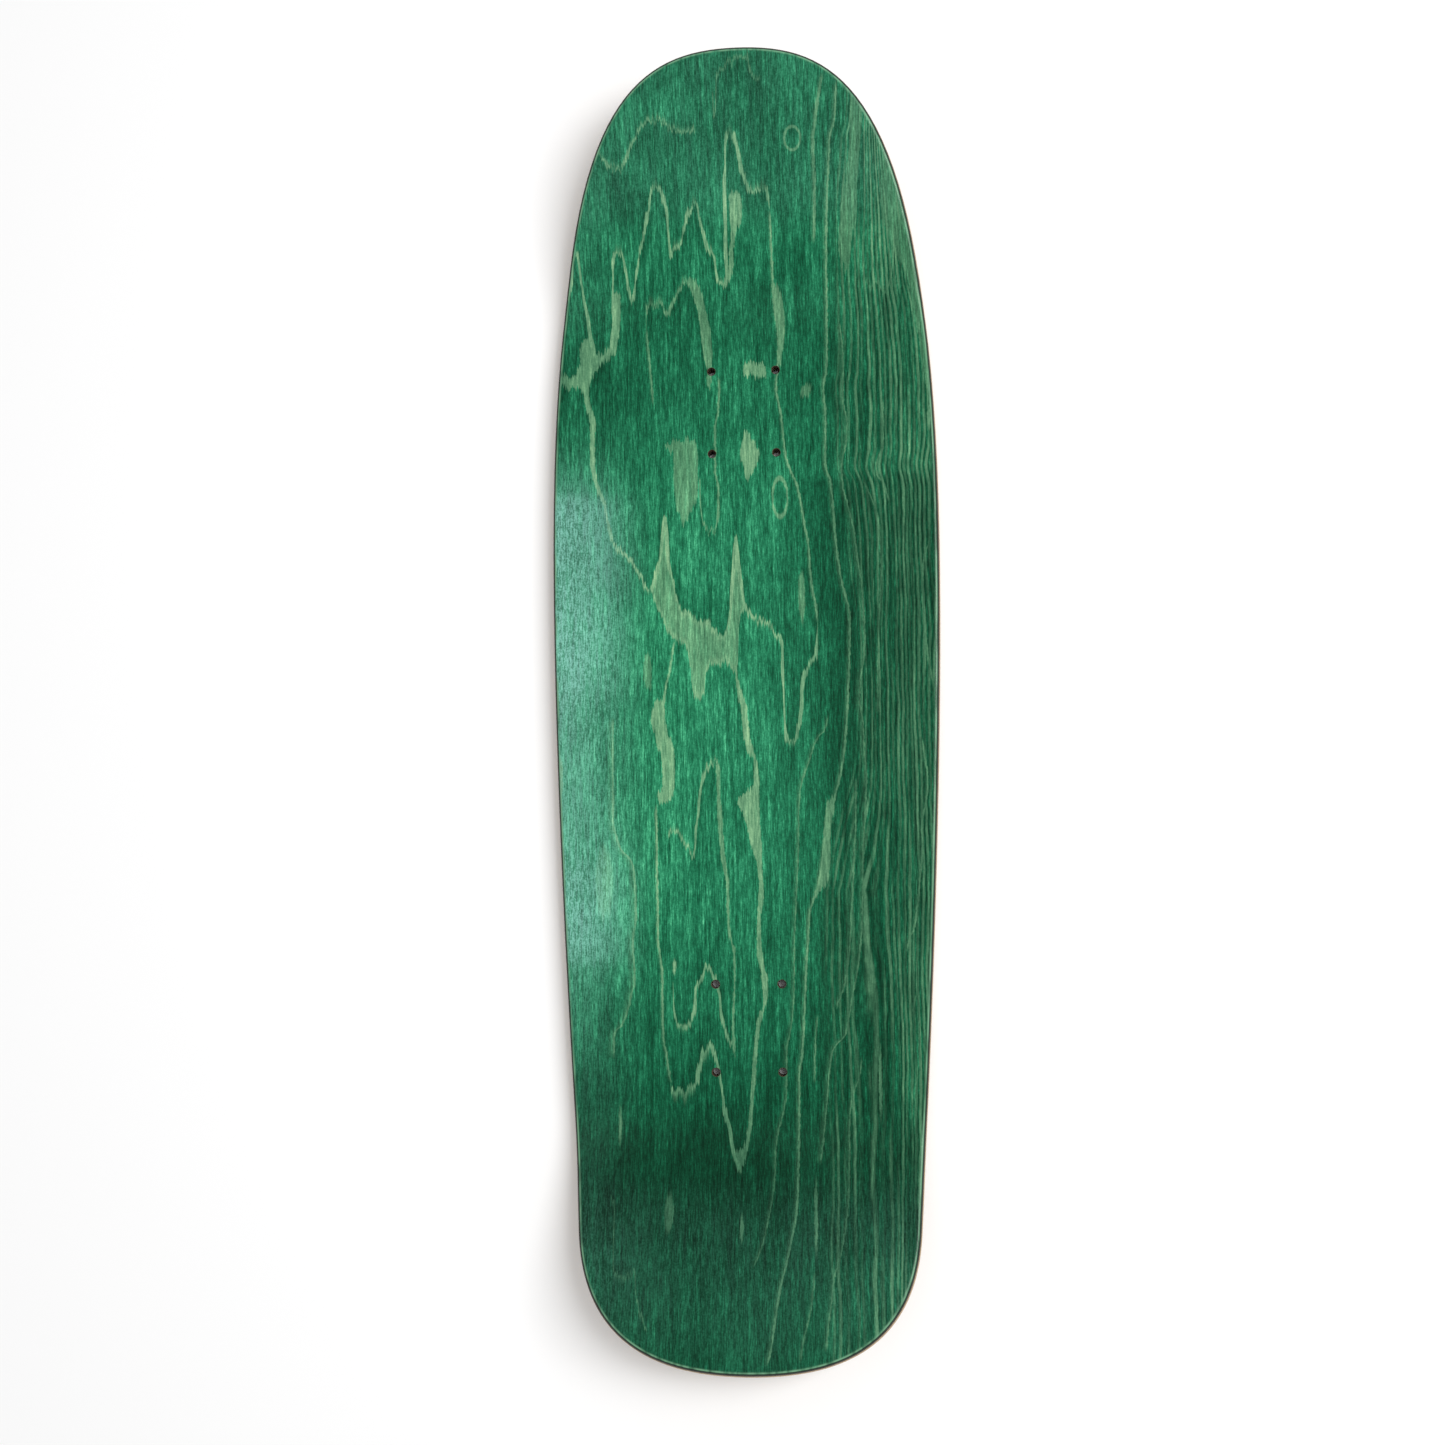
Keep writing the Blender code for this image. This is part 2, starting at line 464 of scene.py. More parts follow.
    def scale_colour(self, colour, factor):
        """Makes a colour brighter or darker."""
        made = self.node("ShaderNodeVectorMath")
        made.operation = "SCALE"
        self.feed(made.inputs[0], colour)
        self.feed(made.inputs["Scale"], factor)
        return made.outputs[0]

    def tint(self, colour, other):
        """Multiplies two colours, channel by channel."""
        made = self.node("ShaderNodeVectorMath")
        made.operation = "MULTIPLY"
        self.feed(made.inputs[0], colour)
        self.feed(made.inputs[1], other)
        return made.outputs[0]

    def finish(self, colour, roughness, bump_height, bump_depth):
        bump = self.node("ShaderNodeBump")
        bump.inputs["Strength"].default_value = 1.0
        bump.inputs["Distance"].default_value = bump_depth
        self.feed(bump.inputs["Height"], bump_height)
        self.feed(self.shader.inputs["Base Color"], colour)
        self.feed(self.shader.inputs["Roughness"], roughness)
        self.feed(self.shader.inputs["Normal"], bump.outputs["Normal"])
        return self.material


# ---------------------------------------------------------------- the green face

# Late wood shows as pale lines where the peeling knife crossed a growth ring. Its points are set one by one.
# Contours cross the deck, as points (X, S). The light lies on one side of each.
FRONT_TOP = (
    (-117, 249), (-115, 268), (-110, 287), (-108, 303), (-106, 290), (-104, 274), (-102, 258),
    (-100, 241), (-94, 229), (-90, 234), (-85, 240), (-84, 262), (-83, 292), (-80, 304),
    (-76, 293), (-75, 280), (-72, 272), (-69, 285), (-66, 299), (-62, 314), (-58, 329),
    (-54, 343), (-50, 335), (-48, 326), (-47, 311), (-46.5, 298), (-44, 303), (-39, 308),
    (-35, 319), (-31, 330), (-29, 332), (-27, 325), (-25, 314), (-22, 304), (-18, 299),
    (-17, 286), (-13, 281), (-9.5, 284), (-8.6, 300), (-8.4, 350), (-7.4, 369), (-5, 373),
    (-3, 368), (-1, 359), (1, 350), (3, 346), (5, 340), (8, 338), (12, 339), (15, 340), (17, 335),
    (18.6, 328),
)
FRONT_BOTTOM = (
    (-88, 122), (-86, 115), (-80.5, 107), (-74, 102), (-70.5, 96), (-66.7, 90), (-61, 81),
    (-59, 89), (-57, 96), (-55, 104), (-53.6, 120), (-51.7, 127), (-49.3, 117), (-48, 97),
    (-45.5, 86), (-44, 75), (-41.7, 69), (-35.5, 65), (-30.5, 61), (-23.6, 60), (-20.5, 55),
    (-15.5, 51), (-12.4, 54), (-10.5, 62), (-9.9, 79), (-8.6, 94), (-5.5, 113), (-3.6, 100),
    (-1.7, 85), (0, 71), (4.5, 65), (9.5, 61), (15.7, 57), (19.5, 52), (23, 48), (24, 35),
    (24.3, 10), (25, -7), (28, -18), (32, -7), (33.6, 5), (34, 14), (35.7, 25), (39.5, 31),
    (42.6, 35), (44.5, 45), (45.7, 57),
)
FRONT_EYE_TOP = (
    (-63, 252), (-62.4, 264), (-60.5, 269), (-55.5, 269), (-51.7, 266), (-48.4, 261),
    (-45.5, 268), (-41.7, 275), (-36.7, 284), (-33.6, 279), (-30.5, 269), (-28, 258),
    (-26.7, 245), (-25.5, 233), (-23, 224),
)
FRONT_EYE_BOTTOM = (
    (-29, 150), (-28.6, 135), (-26.7, 125), (-23, 117), (-20, 118.5), (-18, 121), (-16.8, 132),
)
REAR_BOTTOM = (
    (-49, -229), (-46, -233), (-43, -233), (-34, -229), (-33, -222), (-31, -214), (-30, -209),
    (-26, -208), (-23.6, -204), (-21, -211), (-18.6, -222), (-16.7, -231), (-14.2, -247),
    (-11, -260), (-9.2, -271), (-6, -284),
)
REAR_EYE_TOP = (
    (-50, -76), (-47.4, -72), (-44.2, -74), (-40.5, -80), (-36.7, -86), (-34.2, -89), (-33, -85),
    (-31.7, -70), (-29.9, -56), (-28, -44), (-24.2, -34), (-20.5, -30), (-17.4, -35), (-17, -50),
)
REAR_EYE_BOTTOM = (
    (-47.4, -166), (-46.7, -180), (-45.5, -189), (-42.4, -196), (-40, -194), (-36, -189),
    (-34.2, -179), (-33.6, -170), (-30.5, -165), (-28.6, -160), (-26, -157), (-23, -160),
    (-19.2, -167), (-17.4, -175), (-16.7, -185), (-14.2, -196), (-10.5, -205),
)
NOSE_WAVE = (
    (-95, 359), (-90.5, 363), (-87, 362), (-83, 356), (-80, 356.5), (-77, 354.6), (-73, 358),
    (-70.5, 364), (-68, 371), (-63, 376), (-58, 381), (-53, 384), (-49, 383), (-45.5, 380),
    (-38, 376.5), (-30.5, 375), (-27, 378),
)
NOSE_ARCH = (
    (-15.5, 399), (-15, 383), (-12, 409), (-7, 414), (2, 419), (6.4, 420), (7.6, 414), (9.5, 408),
    (14.5, 406),
)
NOSE_CURL = (
    (80, 280), (84.5, 276), (86.4, 280), (88.2, 275), (91.4, 272), (94, 275), (96.4, 284),
    (98.2, 299), (99.5, 324),
)
TAIL_HOOK = (
    (-85.5, -305), (-83, -308), (-82.4, -325), (-81.7, -344), (-76, -348), (-73, -347),
    (-69, -346), (-68, -356), (-64, -369), (-60.5, -379),
)

# Contours: points, line width, side of the light (1 towards the nose), its reach, glow and strength.
CONTOURS = (
    (FRONT_TOP, 1.6, 1, 8, 0.35, 1.0),
    (FRONT_BOTTOM, 1.7, -1, 6, 0.3, 1.0),
    (FRONT_EYE_TOP, 1.1, 1, 8, 0.45, 0.75),
    (FRONT_EYE_BOTTOM, 0.6, 1, 4, 0.3, 0.6),
    (REAR_BOTTOM, 1.6, -1, 9, 0.75, 1.0),
    (REAR_EYE_TOP, 1.1, 1, 6, 0.3, 0.85),
    (REAR_EYE_BOTTOM, 1.3, -1, 6, 0.3, 0.95),
    (NOSE_WAVE, 0.9, 1, 6, 0.3, 0.8),
    (NOSE_ARCH, 0.6, 1, 3, 0.2, 0.55),
    (NOSE_CURL, 0.6, 1, 8, 0.4, 0.5),
    (TAIL_HOOK, 0.5, -1, 5, 0.4, 0.4),
)

# Pale wood fills the saddle between the front contour's two spikes, from FRONT_BOTTOM down to this line.
SADDLE = (
    (-61, 80), (-55, 66), (-47, 50), (-44.9, 49), (-40.5, 47), (-36.7, 39), (-35, 30),
    (-34.9, 19), (-30.5, 11), (-26.7, 16), (-25.5, 27), (-23, 32.5), (-15.5, 33), (-9.2, 31),
    (-6.7, 27), (-4, 60), (0, 68),
)

# Bands along the deck that change width: points (S, left X, right X) towards the tail, and strength.
BANDS = (
    ((
        (212, -105, -101.5), (200, -102.4, -99.2), (190, -100, -96.4), (180, -99.9, -97),
        (167, -100, -97), (156, -98.6, -96), (145, -95.8, -93.2), (135, -91.6, -89.6),
        (125, -89.4, -87.9), (115, -87, -85.2),
    ), 0.9),
    ((
        (246, -102, -100.4), (240, -106.7, -99.2), (232, -106, -92.5), (227, -107.5, -93.6),
        (222, -109, -97), (219, -112, -99), (214, -114.5, -100.5), (211, -106, -101),
    ), 0.8),
    ((
        (222, -119, -117), (217, -119, -108), (213, -115, -101),
    ), 0.7),
    ((
        (276, -84, -79.6), (262, -84.9, -80), (250, -85.4, -81), (244, -85.5, -81.8), (238, -88, -83),
        (234, -91, -86), (230, -95, -90),
    ), 0.8),
    ((
        (339, -7, -0.5), (330, -6.8, 1.2), (322, -6.6, 0.8), (315, -6.2, -3), (305, -7.4, -4.9),
        (292, -8.6, -5.6), (285, -12, -7.6), (282, -15, -10),
    ), 0.85),
    ((
        (280, 20, 22), (270, 20.2, 25.5), (262, 21.2, 26.6), (254, 22, 27), (243, 22.6, 26.4),
        (232, 22.7, 25), (225, 23, 24),
    ), 0.65),
    ((
        (227, 0.2, 6), (225, 0.1, 14.2), (219, 0.3, 14.4), (218, 9, 13),
    ), 1.0),
    ((
        (286, -36, -33), (279, -34, -27), (269, -30.5, -25), (257, -28, -22.5), (245, -26.7, -20.7),
        (233, -25.5, -20), (224, -23, -20.5), (219, -23.6, -20.5), (211, -22.2, -21.4),
    ), 0.6),
    ((
        (182, 1.4, 2.6), (178, -0.8, 4.5), (172, -2.2, 8.5), (168, -2.5, 9.9), (163, -1.3, 8.3),
        (157, 0.4, 5.8), (152, 2, 3.2),
    ), 0.85),
    ((
        (178, -36, -34.5), (174, -51, -30), (169, -45.5, -29.9), (157, -45.5, -29.9), (142, -45, -30.5),
        (135, -43.6, -32.5), (129, -41, -35.5), (122, -40.3, -39.4),
    ), 0.45),
    ((
        (40, -64.5, -62), (30, -65.5, -60.5), (18, -64.5, -61),
    ), 0.35),
    ((
        (10, -57, -52.4), (2, -60, -52), (-5, -61, -51.5), (-12, -58, -50), (-18, -57, -46.8),
        (-25, -54.5, -46), (-34, -53.6, -45.7), (-46, -53.8, -46.6), (-50, -56.8, -48),
        (-54, -56.5, -50.5), (-56, -56, -54),
    ), 0.8),
    ((
        (30, -8, -6), (25, -6.7, -5.5), (15, -6, -3), (5, -3.6, 0), (-8, -2.4, 1.4), (-16, -1.7, 2.4),
        (-24, 2, 4.2), (-32, 4.5, 6.8), (-41, 4.5, 7.6), (-47, 0.8, 7.6), (-51, -2.4, 7.6),
        (-54, -6, 7.6), (-59, -4.2, 7.6), (-67, -1, 8), (-76, 0.8, 8.4), (-86, 3.2, 8.9),
        (-96, 5.7, 8.9), (-107, 7, 9.7), (-119, 6.4, 9.5), (-129, 5.7, 7.6), (-144, 5.5, 8),
        (-157, 7, 10), (-168, 8.2, 12), (-178, 8.9, 11.4), (-188, 5.7, 8.3), (-200, 3.9, 5.8),
        (-212, 2.6, 4.8), (-225, 1.4, 3.9), (-235, 0.8, 2.9), (-247, -0.2, 1.7), (-260, -1.6, 0.6),
        (-271, -4, -1.8), (-278, -6, -3),
    ), 0.85),
    ((
        (-272, -9.4, -7), (-275, -9, -2.5), (-281, -7.8, -4), (-288, -6.3, -5.5),
    ), 0.8),
    ((
        (-32, -19.5, -17.5), (-50, -19, -17), (-65, -18.6, -15.8), (-81, -17.4, -14.8),
        (-90, -16.6, -14), (-98, -14.6, -12.8), (-112, -13.4, -11.7), (-127, -13.2, -11.8),
        (-140, -11.8, -10.4), (-150, -9.4, -8.2), (-163, -9.2, -8.2), (-178, -9.8, -8.8),
        (-195, -10.6, -9.3), (-205, -10.4, -8.8), (-212, -9.6, -9),
    ), 0.65),
    ((
        (-51, 54, 55.7), (-59, 50, 54.6), (-66, 48.9, 53.6), (-77, 47.6, 52.2), (-90, 46.4, 52),
        (-100, 45, 51), (-105, 44, 50), (-109, 43, 46.2), (-114, 41, 42.5),
    ), 0.7),
    ((
        (392, 72, 79), (364, 70, 77), (330, 65.8, 74), (305, 62.6, 71), (292, 66, 69.5),
        (287, 66.6, 67.4),
    ), 0.4),
    ((
        (364, 92, 95), (336, 89.5, 102), (311, 94.5, 106), (280, 107, 112), (261, 110, 115),
        (243, 113, 117.5), (224, 115.5, 120), (205, 117.5, 121.5),
    ), 0.35),
)

# Thin seams along the deck, where light wood meets dark: points (S, X) in either direction.
MAIN_SEAM = (
    (-399, 10.7), (-390, 13.2), (-375, 15.7), (-362, 17.6), (-350, 20), (-340, 22.6),
    (-325, 25.7), (-306, 28.9), (-287, 29.7), (-250, 30.5), (-225, 30.8), (-212, 32.6),
    (-194, 33.9), (-175, 35), (-156, 36), (-144, 37), (-127, 38), (-119, 40), (-110, 43.2),
    (-80, 49), (-51, 55.7), (-42, 58.2), (-30, 60.7), (-15, 62.6), (10, 64.5), (35, 65.7),
    (60, 66.4), (72, 64.5), (85, 61.4), (97, 59.5), (116, 57.6), (135, 56.4), (150, 55),
    (160, 52), (191, 52.6), (210, 51.4), (221, 53.5), (261, 54.2), (311, 54.7), (336, 55.7),
    (356, 57), (369, 57.6), (379, 60.7), (404, 62.6),
)
FRONT_ARM = (
    (57, 45.7), (67, 45), (79, 42.6), (91, 41.4), (107, 40.5), (120, 38.2), (132, 36.4),
    (145, 34), (155, 30), (164, 27), (175, 25.4), (187, 24.5), (200, 22.6), (211, 20.8),
    (222, 22), (232, 22.7), (249, 22.3), (262, 20.7), (274, 19.8), (287, 19.5), (305, 19.2),
    (321, 18.9), (328, 18.6),
)
REAR_ARM_FRONT = ((49, -45), (41, -46.7), (29, -48.6), (16, -51.7), (4, -53))
REAR_ARM = (
    (-55, -55.5), (-60, -58), (-75, -57.4), (-100, -57.4), (-119, -57), (-137, -57),
    (-152, -55.5), (-166, -54.2), (-181, -54.2), (-200, -53.7), (-212, -51.7), (-224, -50),
    (-230, -48.6),
)
LEFT_SEAM = (
    (-215, -85.5), (-200, -85), (-194, -80.5), (-185, -76.7), (-175, -74.2), (-162, -72),
    (-144, -73), (-125, -71), (-100, -72), (-90, -75), (-86, -79), (-77, -83), (-62, -85.5),
    (-31, -85.5), (0, -85.5),
)
SECOND_SEAM = (
    (-282, 43.2), (-272, 44.5), (-255, 46.4), (-237, 48.2), (-222, 49.5), (-211, 51.4),
    (-205, 54.5), (-199, 60), (-190, 62), (-177, 64.5), (-150, 69.5), (-131, 71.4), (-112, 72.2),
    (-90, 72.6), (-70, 73.9), (-52, 75), (-37, 75.5), (-25, 74.5), (-7, 73.9), (10, 72),
    (47, 75.7), (79, 74.5), (97, 72), (115, 70), (135, 65.7), (155, 62.6), (162, 63.2),
    (185, 66.4), (202, 63.9), (224, 64.5), (255, 62),
)
JAGGED_SEAM = (
    (-185, 54.5), (-180, 55.7), (-170, 59.5), (-160, 61.4), (-147, 63.2), (-131, 64.5),
    (-112, 65.7), (-90, 67), (-70, 68.2), (-40, 69),
)
BRANCH_SEAM = ((-230, 40.3), (-212, 40.7), (-200, 41.4), (-186, 42.6))
THIRD_SEAM = (
    (-391, 45.7), (-375, 47.6), (-362, 49.5), (-350, 50.7), (-340, 53.9), (-327, 57),
    (-312, 59.5), (-300, 60.7), (-275, 61.4), (-250, 62), (-235, 64.5), (-222, 68.9), (-212, 70),
)
FOURTH_SEAM = ((-397, 30.5), (-384, 32.6), (-375, 35), (-362, 37.6), (-344, 39.5))
INNER_SEAM = (
    (-344, 2), (-329, 8.2), (-312, 12), (-294, 15), (-266, 16.4), (-250, 20), (-235, 22.6),
    (-207, 23.2), (-200, 25), (-181, 27.6), (-162, 28.2), (-137, 28.9), (-100, 31), (-75, 32),
    (-55, 32.6), (-45, 33.9), (-37, 36.4), (-29, 39.5), (-21, 42), (-14, 45.7), (-10, 49.5),
    (0, 52),
)
RIGHT_SEAM = (
    (-150, 98.9), (-141, 100.7), (-134, 103.9), (-119, 106.4), (-102, 108.2), (-87, 109.7),
    (-70, 110), (-56, 112.6), (-45, 114), (-25, 112), (-15, 110.7),
)
RAIL_ARCH = ((-190, 102), (-179, 103.2), (-173, 105.7), (-172.5, 109.5))
RAIL_SEAM = ((15, 118.9), (47, 114.5), (79, 113.2), (97, 114.5), (109, 120))
EYE_RIGHT = (
    (121, -18), (132, -16.7), (145, -16.7), (157, -18.6), (180, -18.6), (195, -16.7),
    (207, -15.9), (213, -15.6), (220, -18),
)
EYE_FLANK = ((200, -58.6), (218, -60), (236, -61.7), (253, -63))
NOSE_SEAM = (
    (305, 46.6), (324, 47.2), (349, 47.6), (368, 47), (376, 48.2), (386, 49.5), (399, 52),
    (409, 53.9),
)
FOLD_SEAM = ((202, 89.5), (172, 89.5), (156, 85), (146, 89.5), (132, 93.2))
FOLD_LINE = ((150, 75.7), (135, 82), (122, 85.7), (97, 87), (47, 84.5), (-2, 83.2))

# Seams: points, half-width, how far the light fades to the left, and strength.
SEAMS = (
    (MAIN_SEAM, 0.5, 3.0, 0.8),
    (FRONT_ARM, 0.5, 2.0, 0.8),
    (REAR_ARM_FRONT, 0.5, 1.5, 0.7),
    (REAR_ARM, 0.5, 2.0, 0.8),
    (LEFT_SEAM, 0.6, 5.0, 0.5),
    (SECOND_SEAM, 0.4, 4.0, 0.65),
    (JAGGED_SEAM, 0.4, 4.0, 0.6),
    (BRANCH_SEAM, 0.4, 2.0, 0.6),
    (THIRD_SEAM, 0.4, 3.0, 0.55),
    (FOURTH_SEAM, 0.4, 2.0, 0.45),
    (INNER_SEAM, 0.35, 3.0, 0.5),
    (RIGHT_SEAM, 0.5, 3.0, 0.65),
    (RAIL_ARCH, 0.4, 2.0, 0.5),
    (RAIL_SEAM, 0.5, 2.0, 0.5),
    (EYE_RIGHT, 0.5, 1.5, 0.6),
    (EYE_FLANK, 0.5, 2.0, 0.6),
    (NOSE_SEAM, 0.8, 3.0, 0.6),
    (FOLD_SEAM, 0.5, 2.0, 0.6),
    (FOLD_LINE, 0.4, 2.0, 0.5),
)

# Short bright flecks along the deck: X, S, half-length and strength.
FLECKS = (
    (-46.5, -157.5, 6, 1.0), (-4.5, -320, 10, 0.7), (40.5, -313, 25, 1.0), (119, 188, 12, 1.0),
    (81.4, -228, 28, 0.8), (-81, -256, 15, 0.7),
)

# Small rings: X, S, half-width, half-length and strength.
RINGS = ((22.6, 139, 4.75, 12.5, 0.6), (34, 370, 5, 7, 0.6))

# Soft pale patches: X, S, half-width, half-length and strength.
PATCHES = (
    (35.75, 75, 2.4, 16, 0.5), (-49, -311, 3, 13, 0.45), (-91, -105, 6, 25, 0.25),
    (40, 208, 4, 4, 0.5), (-118.5, -38, 1.5, 12, 0.6),
)

# Broad spots that are darker or paler: X, S, half-width, half-length and doublings of brightness. The dark
# one at X -80, S 88 is painted shade in a gap of the painted sheen, and the pale one at X 99, S -225 is a
# painted sheen on the right rail.
SPOTS = (
    (-74, 332, 16, 20, -0.5), (-50, 392, 26, 12, 0.4), (10, 255, 12, 40, -0.35),
    (90, 250, 10, 25, -0.35), (-80, 88, 20, 17, -0.5), (-90, -111, 8, 28, 0.4),
    (99, -225, 12, 28, 0.8), (-61.5, 9, 2.5, 5, -0.8),
)

# Fine late-wood lines on the quarter-sawn side: place across in mm, and strength.
SIDE_LINES = (
    (63, 0.3), (66.5, 0.5), (71, 0.35), (76, 0.6), (79, 0.3), (83, 0.75), (86, 0.3), (89.5, 0.7),
    (93, 0.4), (96, 0.75), (99, 0.6), (102, 0.7), (104.5, 0.35), (107, 0.75), (110, 0.5),
    (113, 0.7), (116, 0.5), (119, 0.8), (121.5, 0.5),
)

# How the side lines lean inwards near the right rail, as points (S, shift in X).
RAIL_SWAY = (
    (-400, -10), (-330, -4), (-260, -1), (-200, 0), (-150, 0), (180, 0), (224, -1), (286, -8.5),
    (355, -22), (400, -38),
)

# The side lines follow the main seam near it, by its distance from its usual place. That fades out towards
# the rail, where the rail's lean takes over.
MAIN_SEAM_PLACE = 55.0
LEAST_SWAY = -12.0
SWAY_FADE = (62.0, 92.0, 1.0, 0.05)
LEAN_FADE = (70.0, 112.0)

# The side lines step inwards where they cross a fold in the figure.
FOLD_STATION = 156.0
FOLD_REACH = 14.0
FOLD_SHIFT = 1.6
FOLD_FADE = (58.0, 70.0)

# Across a side line, from its middle: a faint foot, a level top and a crisp right edge.
SIDE_LINE_FOOT = -1.4
SIDE_LINE_FOOT_LIGHT = 0.04
SIDE_LINE_TOP = (-0.4, 0.2)
SIDE_LINE_RIGHT = 0.6
SIDE_LINES_START = 56.0
SIDE_LINES_END = 127.0

# How bright the face's colour is along the left rail, the middle and the right rail, as points (S,
# brightness): darker towards the tail, and darker on the right rail than on the left.
LEFT_TONE = (
    (-400, 0.36), (-350, 0.34), (-300, 0.22), (-250, 0.40), (-200, 0.58), (-150, 0.98),
    (-100, 1.15), (-50, 1.10), (0, 1.12), (50, 1.25), (100, 1.00), (150, 0.84), (200, 0.58),
    (250, 0.70), (300, 0.80), (350, 0.74), (420, 0.78),
)
MIDDLE_TONE = (
    (-400, 0.38), (-350, 0.31), (-300, 0.25), (-250, 0.40), (-200, 0.66), (-150, 0.78),
    (-100, 0.95), (-50, 1.00), (0, 1.00), (50, 1.02), (100, 1.02), (150, 0.98), (200, 0.74),
    (250, 0.68), (300, 0.78), (350, 0.72), (420, 0.64),
)
RIGHT_TONE = (
    (-400, 0.44), (-350, 0.36), (-300, 0.23), (-250, 0.31), (-200, 0.34), (-150, 0.32),
    (-100, 0.38), (-50, 0.34), (0, 0.33), (50, 0.30), (100, 0.29), (148, 0.32), (158, 0.48),
    (200, 0.44), (250, 0.56), (300, 0.58), (350, 0.62), (420, 0.84),
)

LEFT_TONE_FADE = (-20, -105)
RIGHT_TONE_FADE = (0, 75)

# The painted sheen: a reflection of the lamps painted into the face's colour, as points (S, strength) along
# the left rail and over the whole width.
LEFT_PAINTED_SHEEN = (
    (-350, 0.03), (-300, 0.02), (-200, 0.05), (-160, 0.14), (-130, 0.40), (-100, 0.36),
    (-50, 0.20), (0, 0.26), (50, 0.42), (75, 0.36), (100, 0.36), (125, 0.36), (145, 0.12),
    (200, 0.0), (300, 0.02), (350, 0.02),
)
WIDE_PAINTED_SHEEN = (
    (-400, 0.01), (-340, 0.02), (-300, 0.01), (-260, 0.0), (300, 0.0), (350, 0.03), (420, 0.03),
)
LEFT_PAINTED_SHEEN_FADE = (-58, -122)
PAINTED_SHEEN_GLITTER = (1.0, 1.6, 0.35, 1.65)

# Fades are (from, to) in mm, with the values at both ends after them where those aren't 0 and 1.
CONTOUR_RIM = (-1.2, 0.6)
CONTOUR_LINE = (2.0, -0.5)
CONTOUR_END = 0.5
CONTOUR_GLOW_POWER = 1.6
CONTOUR_SHADE = (-25.0, 0.0)
SADDLE_END_SLOPE = 8.0
SADDLE_EDGE = (-1.5, 1.0)
SADDLE_RIM = (6.0, 0.0, 0.5, 0.85)
BAND_RIM = (-0.45, 0.35)
BAND_END = 1
SEAM_SOFT_OUTSIDE = 0.45
SEAM_SOFT_INSIDE = 0.2
SEAM_GLOW = 0.35
SEAM_CRISP_SIDE = (0.3, -0.1)
SEAM_END = 6
SIDE_FADE = (40.0, 75.0)

# Flecks, patches and spots fade by the distance from their middle, which is 1 at the rim. A ring fades by
# the distance from its rim.
FLECK_HALF_WIDTH = 1.3
FLECK_FADE = (1.1, 0.4)
RING_FADE = (0.2, 0.05)
PATCH_FADE = (1.1, 0.7)
SPOT_FADE = (1.3, 0.2)

# Noises: size across, size along, seed and detail.
STREAKY_LIGHT = (1.5, 20.0, 3, 2.0)
LINE_WEIGHT = (9.0, 40.0, 8, 2.0)
SIDE_LINE_BREAKS = (5.0, 100.0, 9, 2.0)
RIM_WEAR_AND_HIGHLIGHT = (5.0, 25.0, 10, 2.0)
VESSEL = (1.5, 120.0, 23, 1.0)

# Noises that move the figure: how far in all, in mm, and then the noise.
COMB = (9.0, 0.8, 30.0, 6, 0.0)
WANDER = (7.0, 3.5, 50.0, 7, 1.0)
NIBBLE = (1.6, 1.2, 3.0, 14, 1.0)
SLOW_DRIFT = (9.0, 25.0, 110.0, 12, 1.0)
QUICK_DRIFT = (1.6, 14.0, 16.0, 13, 2.0)

# The grain: each noise, and how far it swings the stain, in doublings of its brightness. The vessels on
# the right and the shade beside the contours are in doublings too.
GRAIN = {
    "fibre": ((0.6, 6.0, 1, 1.0), 3.2),
    "streak": ((1.3, 26.0, 2, 1.0), 2.4),
    "smear": ((3.5, 22.0, 21, 2.0), 1.5),
    "band": ((8.0, 170.0, 22, 1.0), 1.0),
    "cloud": ((34.0, 75.0, 4, 2.0), 1.0),
    "speckle": ((0.8, 1.0, 5, 1.0), 1.6),
}
VESSEL_SWING = 2.2
SHADE_DEPTH = 0.35

# Heights in the stack at which the face's worn rim, paler also by a painted highlight, starts and is full,
# and then the dark line under it.
FACE_HEIGHT = STACK_HEIGHT / MM
RIM_HEIGHTS = (FACE_HEIGHT - 0.02, FACE_HEIGHT - 0.40)
DARK_LINE_HEIGHTS = (FACE_HEIGHT - 0.55, FACE_HEIGHT - 0.85)
DARK_LINE_BRIGHTNESS = 0.10

# Darker stain is greener, because red falls fastest. Late wood darkens less than the wood round it.
STAIN_RED_POWER = 1.8
STAIN_BLUE_POWER = 1.08
LATE_WOOD_POWER = 0.45
LATE_WOOD_RED_POWER = 0.7
LATE_WOOD_COVER = 0.9
RIM_WEAR_AND_HIGHLIGHT_COVER = 0.9
STAIN = (0.014, 0.172, 0.080)
LATE_WOOD = (0.190, 0.375, 0.200)
# The worn rim's colour, paler also by a painted highlight:
SANDED_EDGE_AND_HIGHLIGHT = (0.150, 0.340, 0.200)
# The colour of the painted sheen, a reflection painted into the face:
PAINTED_SHEEN = (0.300, 0.620, 0.550)


def contour_light(graph, contour, along, ragged_width):
    """The light along a contour, and the shade on its other side."""
    points, width, side, reach, glow_strength, strength = contour
    spread = graph.times(ragged_width, width)

    def beyond(offset):
        across = graph.add(graph.across, offset)
        return graph.times(graph.subtract(along, graph.curve(across, points)), side)

    here = beyond(0.0)
    nearby = graph.smaller(beyond(spread), beyond(graph.times(spread, -1.0)))
    outside = graph.fade(here, *CONTOUR_RIM)
    line = graph.fade(nearby, *CONTOUR_LINE)
    glow = graph.math("POWER", graph.fade(here, reach, 0.0), CONTOUR_GLOW_POWER)
    ends = graph.within(graph.across, points[0][0], points[-1][0], CONTOUR_END, CONTOUR_END)
    brighter = graph.larger(line, graph.times(glow, glow_strength))
    light = graph.times(graph.times(outside, brighter), ends)
    inside = graph.times(graph.subtract(1.0, outside), ends)
    shade = graph.times(graph.fade(here, *CONTOUR_SHADE), inside)
    return graph.times(light, strength), shade


